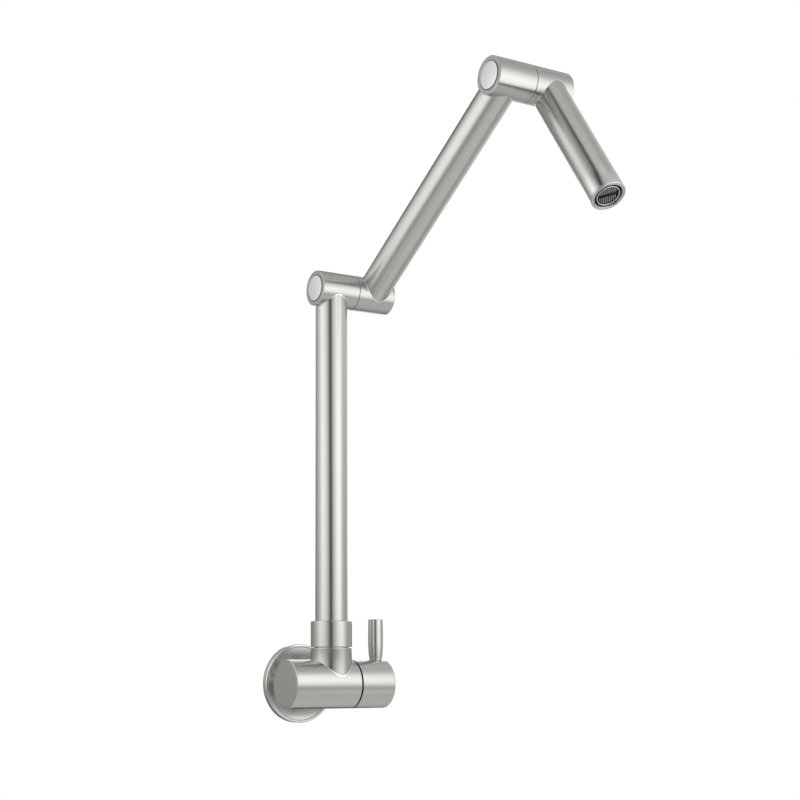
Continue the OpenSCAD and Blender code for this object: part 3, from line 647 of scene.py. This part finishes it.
# the glide ring's black, also used as painted shade on the sides of the joint caps
glide_black_and_gap_shade = moulded("glide_ring_black_and_gap_shade", (0.008, 0.008, 0.008), 0.5, gleam=0.2)
glide_left, glide_right = body_right + glide_gap, sleeve_start - glide_gap
glide_ring = turned("handle_glide_band", [
    (glide_bore_r, glide_left), (glide_bore_r, glide_right), (glide_r - glide_edge, glide_right),
    (glide_r, glide_right - glide_edge), (glide_r, glide_left + glide_edge),
    (glide_r - glide_edge, glide_left)], body_place @ sideways, sides=128)
dress(glide_ring, glide_black_and_gap_shade, "base", "rubber", "handle_glide_ring")
screw_place = dict(axis=(0, 0, 1), through=(lever_x * mm, -wall_gap * mm, 0))
finish_node("handle_set_screw", brushed_metal("set_screw_steel", (0.35, 0.35, 0.35), 0.32, **screw_place))

sleeve = turned("handle_barrel", rounded([
    (0, sleeve_end, 0), (body_r, sleeve_end, sleeve_edge), (body_r, sleeve_start, groove_edge),
    (sleeve_bore_r, sleeve_start, 0), (sleeve_bore_r, sleeve_floor, 0), (0, sleeve_floor, 0)]),
    body_place @ sideways, loop=False, sides=160)
lever_place = body_place @ Matrix.Translation((lever_x * mm, 0, 0))
drill = turned("set_screw_drill", [
    (0, drill_low), (screw_hole_r, drill_low), (screw_hole_r, drill_high), (0, drill_high)],
    lever_place, loop=False, sides=48)
bore = sleeve.modifiers.new("set_screw_hole", "BOOLEAN")
bore.object = drill
bore.solver = "EXACT"
bpy.context.view_layer.objects.active = sleeve
bpy.ops.object.modifier_apply(modifier="set_screw_hole")
bpy.data.objects.remove(drill)
sleeve.data.set_sharp_from_angle(angle=radians(turned_crease))


def groove_shade_wall(side):
    """Picks the sleeve's end in the groove, painted nearly black as shade in the groove."""
    facing_left = -0.5
    return side.center.z < (sleeve_start + groove_edge) * mm and side.normal.z < facing_left


# painted shade: the sleeve's wall in the groove gets a nearly black copy of the steel
groove_painted_shade = brushed_metal("groove_wall_painted_shade_steel", (0.03, 0.03, 0.03), 0.4)
dress(sleeve, body_steel, "handle", "body_steel", "handle_sleeve", second=groove_painted_shade, where=groove_shade_wall)

# how far the shank has swelled from foot radius to full radius, by share of its height
lever_outline = [(0, 0), (0.06, 0.3), (0.16, 0.62), (0.30, 0.88), (0.48, 1), (0.72, 0.98), (0.97, 0.84)]


def lever_swell(share):
    """Swell of the lever's shank at a share of its height, smooth through the outline."""
    for i, ((a, f), (b, g)) in enumerate(zip(lever_outline, lever_outline[1:])):
        if share <= b:
            t = (share - a) / (b - a)
            before = lever_outline[max(0, i - 1)]
            after = lever_outline[min(len(lever_outline) - 1, i + 2)]
            slope_a = (g - before[1]) / (b - before[0]) * (b - a)
            slope_b = (after[1] - f) / (after[0] - a) * (b - a)
            return (f * (2 * t ** 3 - 3 * t ** 2 + 1) + slope_a * (t ** 3 - 2 * t ** 2 + t)
                    + g * (3 * t ** 2 - 2 * t ** 3) + slope_b * (t ** 3 - t ** 2))
    return lever_outline[-1][1]


def lever_foot_shade_mask(side):
    """Picks the upward faces of the ground joint at the lever's foot, for painted shade in the crease."""
    foot_zone, facing_up = 3 * lever_fillet, 0.1
    by_foot = side.center.z < (foot_z + foot_zone) * mm
    return flared(lever_foot_r)(side) and side.normal.z > facing_up and by_foot


foot_z = sqrt(body_r ** 2 - lever_foot_r ** 2)
lever_steps, first_step = 31, 3
lever_rings = [(0, stud_low), (stud_r, stud_low), (stud_r, stud_top)]
lever_rings += coped_foot(lever_foot_r, body_r, lever_fillet)
for k in range(first_step, lever_steps):
    share = k / lever_steps
    lever_rings.append((lever_foot_r + (lever_r - lever_foot_r) * lever_swell(share),
                        foot_z + (lever_top - foot_z) * share))
lever_rings += rounded([(lever_crown_r, lever_top - lever_crown_h, 0),
                        (lever_crown_r, lever_top, lever_crown_edge), (0, lever_top, 0)])
lever = turned("handle_lever_shank", lever_rings, lever_place, loop=False, sides=96)
lever_steel = brushed_metal("lever_steel", (0.66, 0.652, 0.63), 0.26)
# painted shade: the joint at the lever's foot gets a dark copy of the steel
lever_foot_painted_shade = brushed_metal("lever_foot_shadow_steel", (0.16, 0.155, 0.15), 0.35)
dress(lever, lever_steel, "handle", "tube_steel", "handle_lever", second=lever_foot_painted_shade, where=lever_foot_shade_mask)


# Foot of the riser: the steel union nut screws down on the branch's neck, over
# the shoulder of a brass bush. The bush turns in the neck on a washer and two
# rubber rings.
nut_low, nut_top, nut_shoulder = 24.9, 42.3, 2.2
nut_low_edge, nut_top_edge, nut_bore_edge = 0.25, 0.8, 0.12
tube_r = 11
nut = turned("union_nut_ring", rounded([
    (branch_r, nut_low, nut_low_edge), (branch_r, nut_top, nut_top_edge),
    (tube_r + press_gap, nut_top, nut_bore_edge), (tube_r + press_gap, nut_top - nut_shoulder, 0),
    (neck_r + press_gap, nut_top - nut_shoulder, 0), (neck_r + press_gap, nut_low, 0)]),
    riser_place, sides=144)
dress(nut, body_steel, "base", "body_steel", "union_nut")
dark_acetal = moulded("dark_acetal", (0.12, 0.12, 0.12), 0.4)
bush_brass = brushed_metal("bush_brass", brass_gold, 0.30, through=tuple(riser_place.translation))
finish_node("swivel_washer", dark_acetal)
finish_node("riser_bush", bush_brass)
finish_node("riser_o_rings", seal_rubber)


# Riser tube: a drawn stainless tube, brushed all over. It is coped at its top to
# the barrel of the lower joint and brazed to it.
joint_z, joint_r, tube_bore_r = 271.35, 12.25, 9.8
riser_fillet, riser_bands, joint_room = 0.25, 12, 13.5
riser_low = nut_top - nut_shoulder - press_gap
riser_rise = joint_z - joint_room - riser_low
tube_steel = brushed_metal("tube_steel", steel_grey, 0.24)
riser_rings = [(tube_bore_r, riser_low)]
riser_rings += [(tube_r, riser_low + riser_rise * k / riser_bands) for k in range(riser_bands + 1)]
riser_rings += reversed(coped_foot(tube_r, joint_r, riser_fillet, -1, joint_z))
riser_rings += [(tube_bore_r, saddle(tube_bore_r, joint_r, 0, -1, joint_z))]
riser = turned("riser_pipe", riser_rings, riser_place, sides=128)
# the riser's foot joint gets the painted highlight
dress(riser, tube_steel, "riser", "tube_steel", "riser_tube", second=painted_highlight_steel, where=flared(tube_r))


# The two folding joints: each is a barrel in two halves that turn on a hollow
# brass pin. The left half is closed by a round cap, a brighter copy of the steel as a painted
# highlight; a washer and a screw hold the pin, rubber rings seal it, and a thin washer shows in the seam.
joint_end, joint_offset, seam_w, joint_edge, seam_edge, socket_edge = 13.2, 32, 0.4, 0.5, 0.18, 0.45
cap_r, cap_room, cap_seat_r, cap_seat_deep, cap_seat_edge = 9, 0.35, 8.6, 1.75, 0.12
cap_crown = [(0, 0.64), (3, 0.6), (6, 0.48), (8.1, 0.33)]  # radius, and how far it stands proud there
cap_edge_r, cap_edge_proud, cap_edge = 8.8, 0.25, 0.12
cap_thick, cap_skirt_r, cap_skirt_end = 1.6, 7.9, 3.2
pin_bore_r, pin_bore_left = 7.5, -7.2
socket_bore_r, socket_bore_end, passage_r, passage_end = 8, 26.2, 5, 38
arm_length, arm_tilt, spout_tilt = 190, radians(56), radians(146.5)
seam_left, seam_right = joint_offset / 2 - seam_w / 2, joint_offset / 2 + seam_w / 2
joint_right = joint_offset + joint_end
riser_top = riser_place @ Matrix.Translation((0, 0, joint_z * mm))
arm_place = riser_top @ Matrix.Rotation(arm_tilt, 4, "X")
arm_end = arm_place @ Matrix.Translation((joint_offset * mm, 0, arm_length * mm))
spout_place = arm_end @ Matrix.Rotation(spout_tilt - arm_tilt, 4, "X")
joint_steel = brushed_metal("joint_steel", steel_grey, 0.25)
# painted shade: the barrels' flat end rings get a darker copy of the steel
end_steel = brushed_metal("joint_end_painted_shade_steel", (0.42, 0.415, 0.40), 0.26, stretched=0.2)
# painted highlight: the caps get a brighter copy of the steel
cap_painted_highlight_steel = brushed_metal("cap_painted_highlight_steel", (0.78, 0.775, 0.76), 0.34, stretched=0.1)


def end_face(side):
    """Picks the flat ring at the end of a joint's barrel, for painted shade."""
    nearly_flat = 0.9
    return abs(side.normal.z) > nearly_flat


def cap_side_shade(side):
    """Picks the cap's side, painted black as shade in the gap round it."""
    half_turned = 0.5
    return abs(side.normal.z) < half_turned


def folding_joint(which, fixed_place, turning_place, below, above, socket_node):
    """One barrel joint: its fixed half and cap ride below, its socket half above."""
    cap_bed = cap_seat_deep - joint_end
    housing = turned(which + "_joint_barrel", rounded([
        (cap_r + cap_room, -joint_end, cap_seat_edge), (joint_r, -joint_end, joint_edge),
        (joint_r, seam_left, seam_edge), (pin_bore_r, seam_left, 0), (pin_bore_r, pin_bore_left, 0),
        (cap_seat_r, pin_bore_left, 0), (cap_seat_r, cap_bed, 0), (cap_r + cap_room, cap_bed, 0)]),
        fixed_place @ sideways, sides=144)
    # the flat end ring gets the painted shade
    dress(housing, joint_steel, below, "body_steel", which + "_joint_housing",
          second=end_steel, where=end_face)
    face = -joint_end
    cap = turned(which + "_joint_end_cap", rounded([(r, face - proud, 0) for r, proud in cap_crown] + [
        (cap_edge_r, face - cap_edge_proud, cap_edge), (cap_edge_r, face + cap_thick, 0),
        (cap_seat_r, face + cap_thick, 0), (cap_seat_r, face + cap_skirt_end, 0),
        (cap_skirt_r, face + cap_skirt_end, 0), (cap_skirt_r, face + cap_thick, 0),
        (0, face + cap_thick, 0)]), fixed_place @ sideways, loop=False, sides=128)
    # the cap has the painted highlight, and its side is painted black as shade in the gap round it
    dress(cap, cap_painted_highlight_steel, below, "end_steel", which + "_joint_cap", second=glide_black_and_gap_shade, where=cap_side_shade)
    socket = turned(socket_node + "_barrel", rounded([
        (socket_bore_r, seam_right, 0), (joint_r, seam_right, seam_edge), (joint_r, joint_right, socket_edge),
        (0, joint_right, 0), (0, passage_end, 0), (passage_r, passage_end, 0),
        (passage_r, socket_bore_end, 0), (socket_bore_r, socket_bore_end, 0)]),
        turning_place @ sideways, sides=144)
    dress(socket, joint_steel, above, "body_steel", socket_node)
    joint_axis = dict(axis=(1, 0, 0), through=tuple(fixed_place.translation))
    pin_brass = brushed_metal(which + "_pin_brass", brass_gold, 0.30, **joint_axis)
    pin_steel = brushed_metal(which + "_pin_steel", (0.58, 0.58, 0.57), 0.30, **joint_axis)
    finish_node(which + "_joint_washer", dark_acetal)
    finish_node(which + "_joint_spindle", pin_brass)
    finish_node(which + "_joint_o_rings", seal_rubber)
    finish_node(which + "_joint_retainer", pin_steel)
    finish_node(which + "_joint_screw", pin_steel)


folding_joint("lower", riser_top, arm_place, "riser", "arm", "arm_socket")
folding_joint("upper", arm_end, spout_place, "arm", "spout", "spout_socket")


# Arm tube: the same drawn tube, coped and brazed at both ends, to the turning
# half of the lower joint and to the fixed half of the upper one.
tube_fillet, arm_bands, barrel_room = 0.28, 10, 14
arm_rings = coped_foot(tube_r, joint_r, tube_fillet)
arm_rings += [(tube_r, barrel_room + (arm_length - 2 * barrel_room) * k / arm_bands)
              for k in range(arm_bands + 1)]
arm_rings += reversed(coped_foot(tube_r, joint_r, tube_fillet, -1, arm_length))
arm_rings += [(tube_bore_r, saddle(tube_bore_r, joint_r, 0, -1, arm_length)),
              (tube_bore_r, saddle(tube_bore_r, joint_r))]
arm = turned("arm_pipe", arm_rings, arm_place @ Matrix.Translation((joint_offset * mm, 0, 0)), sides=128)
# the joints at both ends of the arm get the painted highlight
dress(arm, tube_steel, "arm", "tube_steel", "arm_tube", second=painted_highlight_steel, where=flared(tube_r))


# Spout: the short tube is coped to the upper joint's turning half. A turned ring
# with a rounded rim is pressed into its open end and holds the aerator.
rim_h, rim_edge, rim_back_edge, nozzle_bore_r, nozzle_bore_edge = 1.5, 0.55, 0.06, 8.9, 0.3
ring_floor_r, ring_floor_front, ring_floor_back, ring_gap = 6.6, -9.6, -10.7, 0.02
spout_reach, spout_bands, spout_end_gap, spout_end_bevel = 102.75, 6, 0.1, 0.05
spout_axis = spout_place @ Matrix.Translation((joint_offset * mm, 0, 0))
nozzle = spout_axis @ Matrix.Translation((0, 0, spout_reach * mm))
spout_end = spout_reach - rim_h
spout_straight = spout_end - spout_end_gap - barrel_room
spout_rings = coped_foot(tube_r, joint_r, tube_fillet)
spout_rings += [(tube_r, barrel_room + spout_straight * k / spout_bands) for k in range(spout_bands + 1)]
spout_rings += [(tube_r - spout_end_bevel, spout_end), (tube_bore_r, spout_end),
                (tube_bore_r, saddle(tube_bore_r, joint_r))]
spout = turned("spout_pipe", spout_rings, spout_axis, sides=128)
spout_steel = brushed_metal("spout_steel", (0.62, 0.612, 0.588), 0.19)
# the spout's foot joint gets the painted highlight
dress(spout, spout_steel, "spout", "tube_steel", "spout_tube", second=painted_highlight_steel, where=flared(tube_r))

rim_steel = brushed_metal("nozzle_rim_steel", (0.64, 0.635, 0.62), 0.36)
rim = turned("nozzle_rim", rounded([
    (nozzle_bore_r, ring_floor_front, 0), (nozzle_bore_r, 0, nozzle_bore_edge), (tube_r, 0, rim_edge),
    (tube_r, -rim_h, rim_back_edge), (tube_bore_r - ring_gap, -rim_h, 0),
    (tube_bore_r - ring_gap, ring_floor_back, 0), (ring_floor_r, ring_floor_back, 0),
    (ring_floor_r, ring_floor_front, 0)]), nozzle, sides=128)
dress(rim, rim_steel, "spout", "end_steel", "nozzle_ring")


# Aerator: a black plastic cup with a bright steel ring in it. The ring frames a
# grille of fine grey ribs in two half moons, on either side of a dark bar. A
# gasket and a screen lie behind.
cup_r, cup_bore_r, cup_face, cup_back, cup_floor, cup_floor_r = 8.88, 7.48, -2.0, -8.2, -7.3, 6.2
cup_edge, cup_bore_edge = 0.2, 0.1
frame_r, frame_bore_r, frame_front, frame_back = 7.35, 6.9, -0.3, -3.6
frame_edge, frame_bore_edge = 0.18, 0.15
grille_turn, grille_face, grille_r, grille_back = radians(32), -1.0, 6.88, 1.3
field_r, field_floor, lip_sunk, lip_edge = 6.0, 1.25, 0.1, 0.1
rib_count, rib_margin, rib_gap, rib_under = 9, 0.6, 0.1, 0.3
rib_w, rib_t, rib_sunk, rib_shoulder = 0.52, 1.2, 0.05, 0.2
bar_w, bar_t, bar_sunk, bar_shoulder, bar_bevel, bar_overlap = 2.2, 1.24, 0.1, 0.25, 0.15, 0.2
grille_crease = 20  # degrees, above which an edge of a rib or the bar looks sharp
cup_black = moulded("aerator_cup_black", (0.008, 0.008, 0.008), 0.5, gleam=0.12)
cup = turned("aerator_cup", rounded([
    (cup_bore_r, cup_floor, 0), (cup_bore_r, cup_face, cup_bore_edge), (cup_r, cup_face, cup_edge),
    (cup_r, cup_back, 0), (cup_floor_r, cup_back, 0), (cup_floor_r, cup_floor, 0)]), nozzle, sides=112)
dress(cup, cup_black, "spout", "black_plastic", "aerator_body")
bright_ring = turned("aerator_bright_ring", rounded([
    (frame_bore_r, frame_back, 0), (frame_bore_r, frame_front, frame_bore_edge),
    (frame_r, frame_front, frame_edge), (frame_r, frame_back, 0)]), nozzle, sides=112)
ring_steel = brushed_metal("aerator_ring_steel", (0.95, 0.945, 0.93), 0.45, stretched=0.0, contrast=0.2)
dress(bright_ring, ring_steel, "spout", "end_steel", "aerator_rim")

grille_place = nozzle @ Matrix.Rotation(grille_turn, 4, "Z")
grille = turned("aerator_grille_frame", rounded([
    (0, grille_face - field_floor, 0), (field_r, grille_face - field_floor, 0),
    (field_r, grille_face - lip_sunk, lip_edge), (grille_r, grille_face - lip_sunk, lip_edge),
    (grille_r, grille_face - grille_back, 0), (0, grille_face - grille_back, 0)]), grille_place, sides=112)
dress(grille, cup_black, "spout", "grille_plastic", "aerator_grille")


def extruded(outlines):
    """Vertices and faces of bars, each given by the corners of its two ends."""
    verts, faces = [], []
    for ends in outlines:
        count = len(ends[0])
        near, far = len(verts), len(verts) + count
        verts += [(x * mm, y * mm, z * mm) for end in ends for x, y, z in end]
        faces += [[near + k for k in range(count)], [far + k for k in range(count)]]
        faces += [[near + k, near + (k + 1) % count, far + (k + 1) % count, far + k] for k in range(count)]
    return verts, faces


def ribs():
    """Ribs of the grille, each with a softened front, cut to the round field."""
    section = [(-rib_w / 2, -rib_t), (-rib_w / 2, -rib_shoulder), (-rib_w / 4, -rib_sunk),
               (rib_w / 4, -rib_sunk), (rib_w / 2, -rib_shoulder), (rib_w / 2, -rib_t)]
    pitch = 2 * field_r / (rib_count + rib_margin)
    for i in range(rib_count):
        x = pitch * (i - (rib_count - 1) / 2)
        reach = sqrt((field_r + rib_under) ** 2 - x * x)
        for half in (1, -1):
            yield [[(x + dx, half * y, grille_face + dz) for dx, dz in section]
                   for y in (bar_w / 2 + rib_gap, reach)]


def middle_bar_ends():
    """The dark bar between the half moons, bevelled along its front."""
    section = [(-bar_w / 2, -bar_t), (-bar_w / 2, -bar_shoulder), (-bar_w / 2 + bar_bevel, -bar_sunk),
               (bar_w / 2 - bar_bevel, -bar_sunk), (bar_w / 2, -bar_shoulder), (bar_w / 2, -bar_t)]
    half_length = sqrt(field_r ** 2 - bar_w ** 2 / 4) + bar_overlap
    return [[(end * half_length, y, grille_face + dz) for y, dz in section] for end in (-1, 1)]


rib_grey = moulded("grille_rib_grey", (0.33, 0.33, 0.32), 0.4)
rib_set = piece("aerator_grille_ribs", *extruded(ribs()), grille_place, crease=grille_crease)
dress(rib_set, rib_grey, "spout", "grille_plastic")
middle_bar = piece("aerator_middle_bar", *extruded([middle_bar_ends()]), grille_place, crease=grille_crease)
dress(middle_bar, cup_black, "spout", "grille_plastic")
screen_steel = brushed_metal("screen_steel", (0.45, 0.45, 0.45), 0.35, through=tuple(nozzle.translation),
                             axis=tuple(nozzle.to_3x3() @ Vector((0, 0, 1))))
finish_node("aerator_gasket", seal_rubber)
finish_node("aerator_screen", screen_steel)
